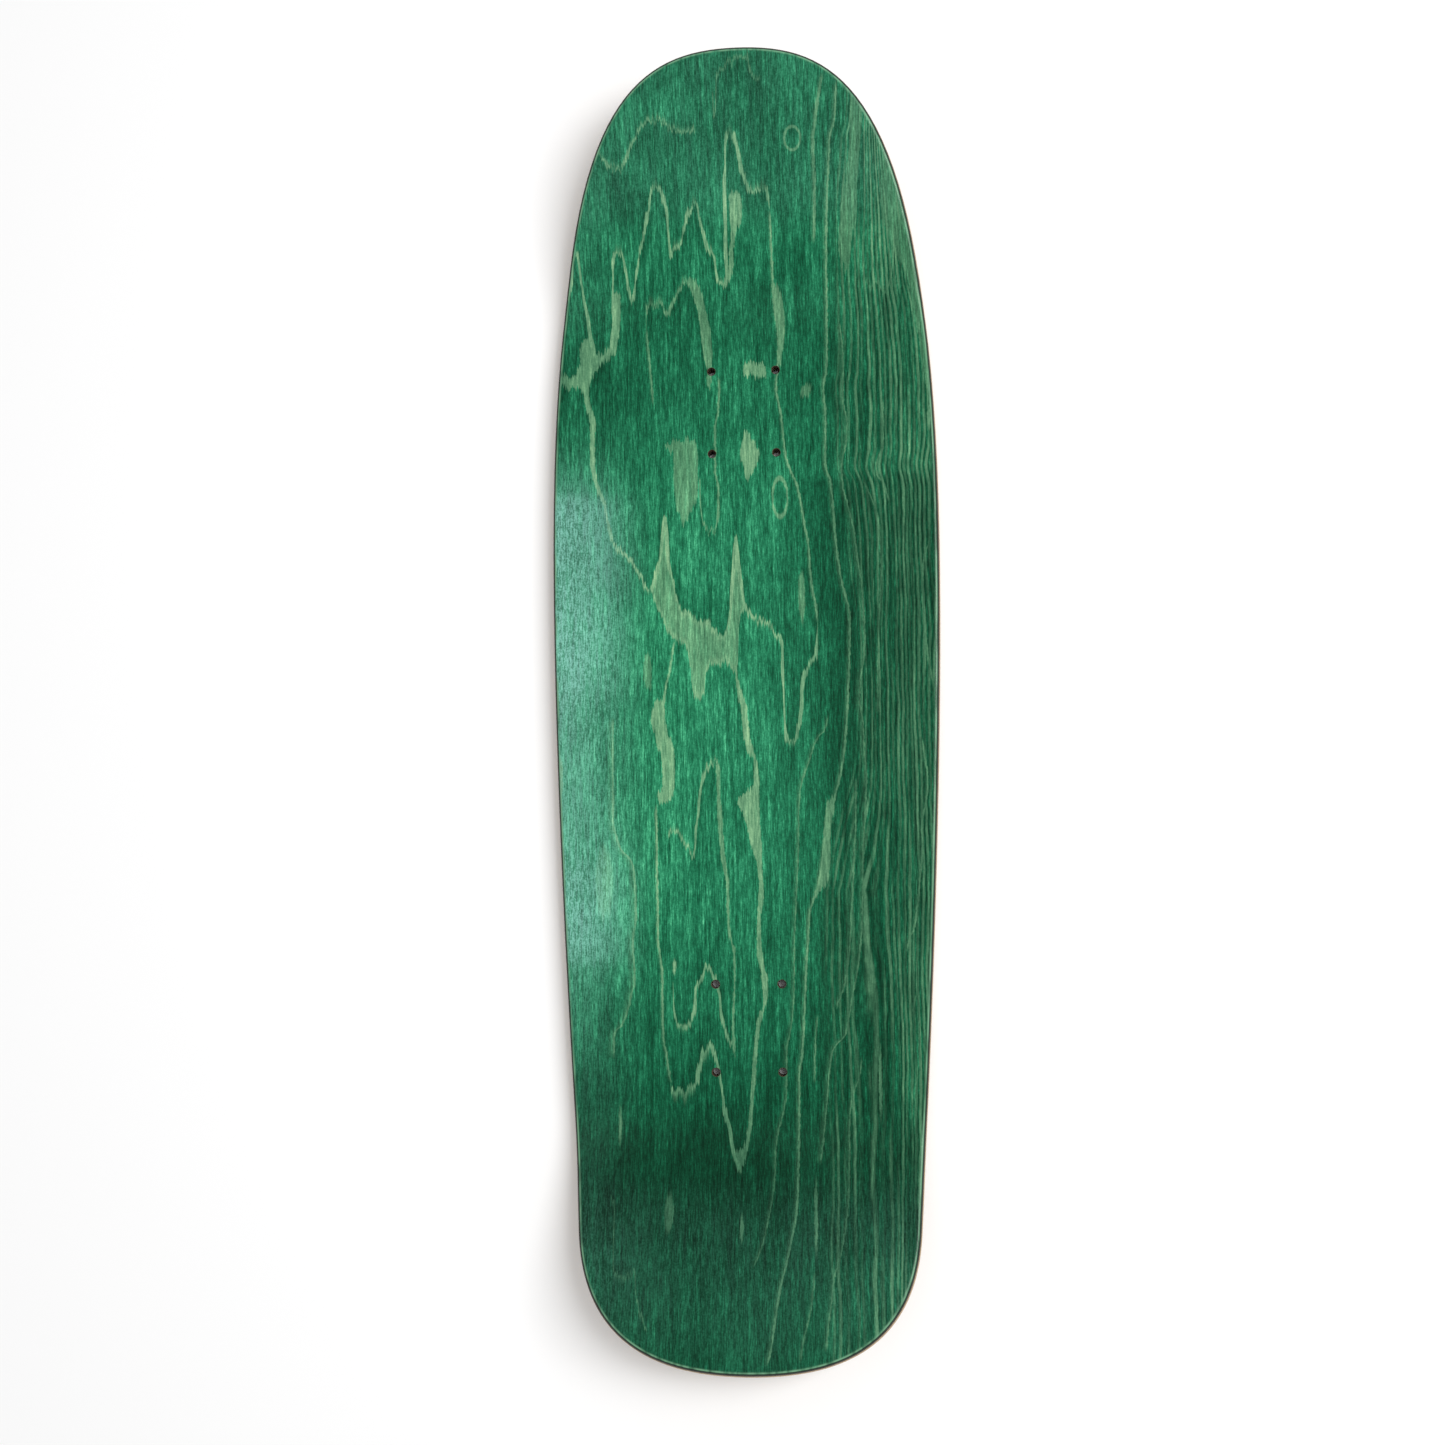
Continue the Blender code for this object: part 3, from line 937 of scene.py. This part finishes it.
def saddle_light(graph, along):
    """Pale wood between the front contour's two spikes."""
    across = graph.across
    above = graph.subtract(graph.curve(across, FRONT_BOTTOM), along)
    below = graph.subtract(along, graph.curve(across, SADDLE))
    left, right = SADDLE[0][0], SADDLE[-1][0]
    off_middle = graph.math("ABSOLUTE", graph.subtract(across, (left + right) / 2))
    beside = graph.subtract((right - left) / 2, off_middle)
    depth = graph.smaller(graph.smaller(above, below), graph.times(beside, SADDLE_END_SLOPE))
    rim = graph.fade(depth, *SADDLE_RIM)
    return graph.times(graph.fade(depth, *SADDLE_EDGE), rim)


def band_light(graph, points, across, along):
    """An area between a left and a right edge that both change along the deck."""
    left_edge = graph.curve(along, [(s, left) for s, left, right in points])
    right_edge = graph.curve(along, [(s, right) for s, left, right in points])
    depth = graph.smaller(graph.subtract(across, left_edge), graph.subtract(right_edge, across))
    ends = graph.within(along, points[-1][0], points[0][0], BAND_END, BAND_END)
    return graph.times(graph.fade(depth, *BAND_RIM), ends)


def seam_light(graph, points, half_width, reach, across):
    """A thin line along the deck: crisp on its right, and fading to the left over reach."""
    gap = graph.subtract(across, graph.curve(graph.along, points))
    off_seam = graph.math("ABSOLUTE", gap)
    line = graph.fade(off_seam, half_width + SEAM_SOFT_OUTSIDE, half_width - SEAM_SOFT_INSIDE)
    glow = graph.times(graph.fade(gap, -reach, 0.0, 0.0, SEAM_GLOW), graph.fade(gap, *SEAM_CRISP_SIDE))
    stations = [s for s, x in points]
    ends = graph.within(graph.along, min(stations), max(stations), 0, SEAM_END)
    return graph.times(graph.larger(line, glow), ends)


def spot_reach(graph, place, x, s, half_width, half_length):
    """Distance from the middle of a spot, which is 1 at its rim."""
    offset = graph.node("ShaderNodeVectorMath")
    offset.operation = "MULTIPLY_ADD"
    graph.feed(offset.inputs[0], place)
    offset.inputs[1].default_value = (1.0 / half_width, 1.0 / half_length, 0.0)
    offset.inputs[2].default_value = (-x / half_width, -s / half_length, 0.0)
    length = graph.node("ShaderNodeVectorMath")
    length.operation = "LENGTH"
    graph.feed(length.inputs[0], offset.outputs[0])
    return length.outputs["Value"]


def side_place(graph):
    """Place across among the near-parallel lines on the right, which sway with the seam and the rail."""
    seam = graph.curve(graph.along, MAIN_SEAM)
    sway = graph.larger(graph.subtract(seam, MAIN_SEAM_PLACE), LEAST_SWAY)
    place = graph.subtract(graph.across, graph.times(sway, graph.fade(graph.across, *SWAY_FADE)))
    lean = graph.times(graph.curve(graph.along, RAIL_SWAY), graph.fade(graph.across, *LEAN_FADE))
    place = graph.subtract(place, lean)
    off_fold = graph.math("ABSOLUTE", graph.subtract(graph.along, FOLD_STATION))
    fold = graph.fade(off_fold, FOLD_REACH, 0.0, 0.0, FOLD_SHIFT)
    place = graph.add(place, graph.times(fold, graph.fade(graph.across, *FOLD_FADE)))
    place = graph.add(place, graph.swing(*SLOW_DRIFT))
    return graph.add(place, graph.swing(*QUICK_DRIFT))


def side_lines_light(graph, place):
    """Near-parallel lines that come and go along the deck."""
    top_left, top_right = SIDE_LINE_TOP
    profile = [(SIDE_LINES_START, 0.0)]
    for centre, strength in SIDE_LINES:
        profile.append((centre + SIDE_LINE_FOOT, SIDE_LINE_FOOT_LIGHT))
        profile.append((centre + top_left, strength))
        profile.append((centre + top_right, strength))
        profile.append((centre + SIDE_LINE_RIGHT, 0.0))
    profile.append((SIDE_LINES_END, 0.0))
    come_and_go = graph.fade(graph.noise(*SIDE_LINE_BREAKS), 0.34, 0.58, 0.15, 1.0)
    return graph.times(graph.curve(place, profile), come_and_go)


def face_brightness(graph):
    """How bright the face's colour is before the grain: 1.0 is the stain's own colour."""
    middle = graph.curve(graph.along, MIDDLE_TONE)
    left = graph.subtract(graph.curve(graph.along, LEFT_TONE), middle)
    right = graph.subtract(graph.curve(graph.along, RIGHT_TONE), middle)
    to_left = graph.times(left, graph.fade(graph.across, *LEFT_TONE_FADE))
    to_right = graph.times(right, graph.fade(graph.across, *RIGHT_TONE_FADE))
    return graph.add(middle, graph.add(to_left, to_right))


def green_figure(graph):
    """How much light late wood shows, from 0 to 1, and how much shade lies beside it."""
    comb = graph.swing(*COMB)
    wander = graph.swing(*WANDER)
    along = graph.add(graph.along, graph.add(comb, wander))
    nibble = graph.swing(*NIBBLE)
    across = graph.add(graph.across, nibble)
    # Nibbled places have rough sides. Ragged ones also have ends that are combed out along the grain.
    nibbled = graph.vector(across, graph.along, 0.0)
    ragged = graph.vector(across, along, 0.0)
    ragged_width = graph.fade(graph.noise(*LINE_WEIGHT), 0.35, 0.65, 0.6, 1.5)

    # With 24 or more FLECKS and SPOTS in all, the face renders black, for a reason not found.
    light = saddle_light(graph, along)
    shade = 0.0
    for contour in CONTOURS:
        contour_glow, contour_shade = contour_light(graph, contour, along, ragged_width)
        light = graph.larger(light, contour_glow)
        shade = graph.larger(shade, contour_shade)
    for points, strength in BANDS:
        band = band_light(graph, points, across, along)
        light = graph.larger(light, graph.times(band, strength))
    for points, half_width, reach, strength in SEAMS:
        seam = seam_light(graph, points, half_width, reach, across)
        light = graph.larger(light, graph.times(seam, strength))
    for x, s, half_length, strength in FLECKS:
        reach = spot_reach(graph, nibbled, x, s, FLECK_HALF_WIDTH, half_length)
        light = graph.larger(light, graph.fade(reach, *FLECK_FADE, 0.0, strength))
    for x, s, half_width, half_length, strength in RINGS:
        reach = spot_reach(graph, nibbled, x, s, half_width, half_length)
        off_rim = graph.math("ABSOLUTE", graph.subtract(reach, 1.0))
        light = graph.larger(light, graph.fade(off_rim, *RING_FADE, 0.0, strength))
    for x, s, half_width, half_length, strength in PATCHES:
        reach = spot_reach(graph, ragged, x, s, half_width, half_length)
        light = graph.larger(light, graph.fade(reach, *PATCH_FADE, 0.0, strength))
    streaky = graph.fade(graph.noise(*STREAKY_LIGHT), 0.3, 0.6, 0.72, 1.05)
    return graph.times(light, streaky), shade


def green_stained_maple():
    """The face: stained wood, its figure, a painted sheen, a worn rim with a painted highlight and a dark
    line under it.
    """
    graph = Graph("green_stained_maple")
    place = side_place(graph)
    on_side = graph.fade(graph.across, *SIDE_FADE)
    layers = {name: graph.noise(*noise) for name, (noise, swing) in GRAIN.items()}
    vessel = graph.noise(*VESSEL, across=place)
    figure, shade = green_figure(graph)
    light = graph.larger(figure, side_lines_light(graph, place))

    grain = graph.times(graph.subtract(vessel, 0.5), graph.times(on_side, VESSEL_SWING))
    for name, (noise, swing) in GRAIN.items():
        grain = graph.add(grain, graph.times(graph.subtract(layers[name], 0.5), swing))
    grain = graph.subtract(grain, graph.times(shade, SHADE_DEPTH))
    for x, s, half_width, half_length, doublings in SPOTS:
        reach = spot_reach(graph, graph.place, x, s, half_width, half_length)
        grain = graph.add(grain, graph.fade(reach, *SPOT_FADE, 0.0, doublings))
    tone = graph.times(face_brightness(graph), graph.math("POWER", 2.0, grain))
    red = graph.math("POWER", tone, STAIN_RED_POWER)
    blue = graph.math("POWER", tone, STAIN_BLUE_POWER)
    colour = graph.tint(STAIN, graph.vector(red, tone, blue))

    late_tone = graph.math("POWER", tone, LATE_WOOD_POWER)
    late_red = graph.math("POWER", tone, LATE_WOOD_RED_POWER)
    late_wood = graph.tint(LATE_WOOD, graph.vector(late_red, late_tone, late_tone))
    colour = graph.blend(graph.times(light, LATE_WOOD_COVER), colour, late_wood)

    fibre, streak, cloud, speckle = [layers[name] for name in ("fibre", "streak", "cloud", "speckle")]
    # A painted sheen: a reflection of the lamps mixed into the colour as paler teal, strongest on the left
    # rail.
    painted_sparkle = graph.add(graph.add(speckle, fibre), graph.times(cloud, 0.6))
    painted_glitter = graph.fade(painted_sparkle, *PAINTED_SHEEN_GLITTER)
    left_painted_sheen = graph.curve(graph.along, LEFT_PAINTED_SHEEN)
    painted_sheen = graph.times(left_painted_sheen, graph.fade(graph.across, *LEFT_PAINTED_SHEEN_FADE))
    painted_sheen = graph.add(painted_sheen, graph.curve(graph.along, WIDE_PAINTED_SHEEN))
    colour = graph.blend(graph.times(painted_sheen, painted_glitter), colour, PAINTED_SHEEN)

    # The rim: sanded paler, with a painted highlight over it, and a thicker coat.
    rim = graph.fade(graph.height, *RIM_HEIGHTS)
    worn_and_highlit = graph.times(rim, graph.fade(graph.noise(*RIM_WEAR_AND_HIGHLIGHT), 0.35, 0.6, 0.3, 1.0))
    colour = graph.blend(graph.times(worn_and_highlit, RIM_WEAR_AND_HIGHLIGHT_COVER), colour, SANDED_EDGE_AND_HIGHLIGHT)
    above_line = graph.fade(graph.height, *DARK_LINE_HEIGHTS, 1.0, DARK_LINE_BRIGHTNESS)
    colour = graph.scale_colour(colour, above_line)

    graph.shader.inputs["Specular IOR Level"].default_value = 0.05
    graph.shader.inputs["Coat Roughness"].default_value = 0.2
    graph.feed(graph.shader.inputs["Coat Weight"], graph.fade(rim, 0.0, 1.0, 0.04, 0.4))
    uneven = graph.add(graph.times(streak, 0.6), graph.times(cloud, 0.4))
    roughness = graph.fade(uneven, 0.3, 0.7, 0.27, 0.40)
    fine_relief = graph.add(graph.times(streak, 0.3), graph.times(speckle, 0.4))
    relief = graph.add(graph.times(fibre, 0.5), fine_relief)
    return graph.finish(colour, roughness, relief, 0.06 * MM)


# ---------------------------------------------------------------- the bare maple plies

# Colours, pale then deep.
VENEER_WOOD = ((0.640, 0.455, 0.255), (0.470, 0.300, 0.145))
LONG_WOOD = ((0.620, 0.450, 0.250), (0.450, 0.300, 0.150))
CROSS_WOOD = ((0.500, 0.340, 0.180), (0.320, 0.200, 0.100))
DYED_WOOD = ((0.030, 0.026, 0.016), (0.010, 0.012, 0.007))
# Drill-scorched wood for the bolt holes, deepened towards black as painted shade in the holes:
SCORCHED_SHADED_PALE = (0.070, 0.038, 0.016)
SCORCHED_SHADED_DEEP = (0.012, 0.007, 0.004)

# Grain sizes across the deck and along it.
VENEER_GRAIN = (0.8, 22.0)
LONG_GRAIN = (0.8, 18.0)
CROSS_GRAIN = (18.0, 0.8)

# The plies under the face, from the underside up: material, seed, colours, grain and roughness.
BARE_PLIES = (
    ("natural_maple_veneer", 11, VENEER_WOOD, VENEER_GRAIN, 0.42),
    ("long_ply_low", 15, LONG_WOOD, LONG_GRAIN, 0.6),
    ("cross_ply_low", 19, CROSS_WOOD, CROSS_GRAIN, 0.68),
    ("long_ply_centre", 23, LONG_WOOD, LONG_GRAIN, 0.6),
    ("cross_ply_high", 27, CROSS_WOOD, CROSS_GRAIN, 0.68),
    ("dyed_ply", 31, DYED_WOOD, LONG_GRAIN, 0.6),
)


def bare_maple(name, seed, colours, grain, roughness_level):
    """Bare maple of a pale and a deep colour, whose grain runs the way of its longer size."""
    graph = Graph(name)
    pale, deep = colours
    grain_across, grain_along = grain
    fibre = graph.noise(grain_across, grain_along, seed, detail=3.0, size_up=0.35)
    streak = graph.noise(3.0 * grain_across, 3.0 * grain_along, seed + 1, detail=2.0, size_up=0.9)
    pores = graph.noise(0.5 * grain_across, 0.5 * grain_along, seed + 2, detail=0.0, size_up=0.2)
    scuff = graph.noise(14.0, 14.0, seed + 3, detail=4.0, size_up=14.0)
    tone = graph.add(graph.times(fibre, 0.6), graph.times(streak, 0.4))
    colour = graph.blend(graph.fade(tone, 0.3, 0.7), deep, pale)
    colour = graph.scale_colour(colour, graph.fade(pores, 0.6, 0.72, 1.0, 0.6))
    colour = graph.scale_colour(colour, graph.fade(scuff, 0.3, 0.7, 0.85, 1.05))
    roughness = graph.fade(tone, 0.2, 0.8, roughness_level + 0.08, roughness_level - 0.06)
    relief = graph.subtract(fibre, graph.fade(pores, 0.6, 0.72, 0.0, 0.7))
    return graph.finish(colour, roughness, relief, 0.08 * MM)


def bolt_hole_wall():
    """Wood scorched by the drill and darkened towards black as painted shade in the hole, ringed by the
    plies it went through.
    """
    graph = Graph("bolt_hole_wall")
    scorch_and_shade = graph.noise(1.2, 1.2, 40, detail=4.0, size_up=0.25)
    plies = graph.math("PINGPONG", graph.height, PLY_PITCH / MM)
    tone = graph.add(graph.times(scorch_and_shade, 0.7), graph.times(plies, 0.2))
    colour = graph.blend(graph.fade(tone, 0.3, 0.7), SCORCHED_SHADED_DEEP, SCORCHED_SHADED_PALE)
    return graph.finish(colour, graph.fade(scorch_and_shade, 0.3, 0.7, 0.6, 0.85), scorch_and_shade, 0.15 * MM)


# ---------------------------------------------------------------- build

cutter = bolt_hole_cutter()
hole_wall = bolt_hole_wall()
faces = [bare_maple(*ply) for ply in BARE_PLIES]
faces.append(green_stained_maple())
for level, face in enumerate(faces):
    make_ply(level, cutter, face, hole_wall)
bpy.data.objects.remove(cutter, do_unlink=True)


# ---------------------------------------------------------------- floor, light and camera

FLOOR_HALF_SIZE = 4.0
FLOOR_DROP = 0.2 * MM
FLOOR_SHADES = ((0.90, 0.90, 0.90), (0.93, 0.93, 0.93))
WORLD_STRENGTH = 0.66

# Light panels, which face the origin: name, place, width, height and watts.
PANELS = (
    ("softbox", (1.2, 0.30, 2.0), 0.9, 1.4, 36.0),
    ("overhead_strip", (0.45, 0.20, 2.0), 0.30, 0.8, 2.2),
)

# The camera hangs almost straight above the deck, turned by these degrees about X, Y and Z.
CAMERA_LENS = 43.35
CAMERA_SENSOR = 36.0
CAMERA_PLACE = (62.3 * MM, -108.3 * MM, 1101.6 * MM)
CAMERA_TURN = (5.383, 4.102, -0.424)
CAMERA_CLIP_START = 0.05


def studio_floor():
    graph = Graph("floor_paper")
    mottle = graph.node("ShaderNodeTexNoise")
    mottle.inputs["Scale"].default_value = 3.0
    colour = graph.blend(mottle.outputs["Fac"], *FLOOR_SHADES)
    return graph.finish(colour, 0.9, mottle.outputs["Fac"], 0.1 * MM)


def add_floor():
    mesh = bmesh.new()
    bmesh.ops.create_grid(mesh, x_segments=1, y_segments=1, size=FLOOR_HALF_SIZE)
    floor = new_object("studio_floor", mesh)
    floor.location.z = -FLOOR_DROP
    floor.data.materials.append(studio_floor())


def add_panel(name, place, width, height, watts):
    light = bpy.data.lights.new(name, "AREA")
    light.shape = "RECTANGLE"
    light.size = width
    light.size_y = height
    light.energy = watts
    panel = bpy.data.objects.new(name, light)
    panel.location = place
    panel.rotation_euler = (-Vector(place)).to_track_quat("-Z", "Y").to_euler()
    panel.visible_camera = False
    bpy.context.scene.collection.objects.link(panel)


def add_camera():
    camera = bpy.data.cameras.new("camera")
    camera.lens = CAMERA_LENS
    camera.sensor_width = CAMERA_SENSOR
    camera.clip_start = CAMERA_CLIP_START
    holder = bpy.data.objects.new("camera", camera)
    holder.location = CAMERA_PLACE
    holder.rotation_euler = Euler([math.radians(turn) for turn in CAMERA_TURN], "XYZ")
    bpy.context.scene.collection.objects.link(holder)
    bpy.context.scene.camera = holder


def add_world():
    world = bpy.data.worlds.new("studio")
    world.use_nodes = True
    background = world.node_tree.nodes["Background"]
    background.inputs["Color"].default_value = (1.0, 1.0, 1.0, 1.0)
    background.inputs["Strength"].default_value = WORLD_STRENGTH
    bpy.context.scene.world = world
    bpy.context.scene.view_settings.view_transform = "Standard"


add_world()
add_floor()
for panel in PANELS:
    add_panel(*panel)
add_camera()
